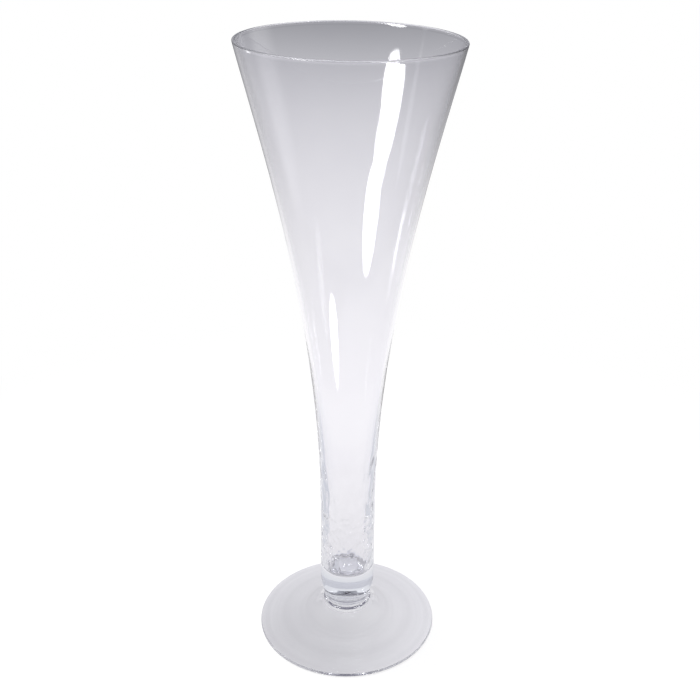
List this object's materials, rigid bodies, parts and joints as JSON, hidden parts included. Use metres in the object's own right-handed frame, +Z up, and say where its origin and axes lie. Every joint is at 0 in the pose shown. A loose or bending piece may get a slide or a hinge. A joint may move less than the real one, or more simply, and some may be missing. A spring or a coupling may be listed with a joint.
{
  "type": "champagne glass vase",
  "caption": "Tall flute-shaped vase of clear blown glass: a slender cone running into a hollow stem, with a round collar bead on a wide conical foot.",
  "frame": {"origin": "on the table under the middle of the foot", "axes": "+Z up the vase's axis from the foot to the lip; X and Y are free, because the vase is round"},
  "size_m": [0.1936, 0.1936, 0.6],
  "materials": {
    "foot_glass": "clear, fire-polished, with faint rings from shaping",
    "collar_glass": "clear, fire-polished",
    "bowl_glass": "clear, fire-polished, slightly wavy inside the stem"
  },
  "bodies": {
    "root": {"foot": "foot_glass", "collar": "collar_glass", "bowl_and_stem": "bowl_glass"}
  },
  "joints": []
}
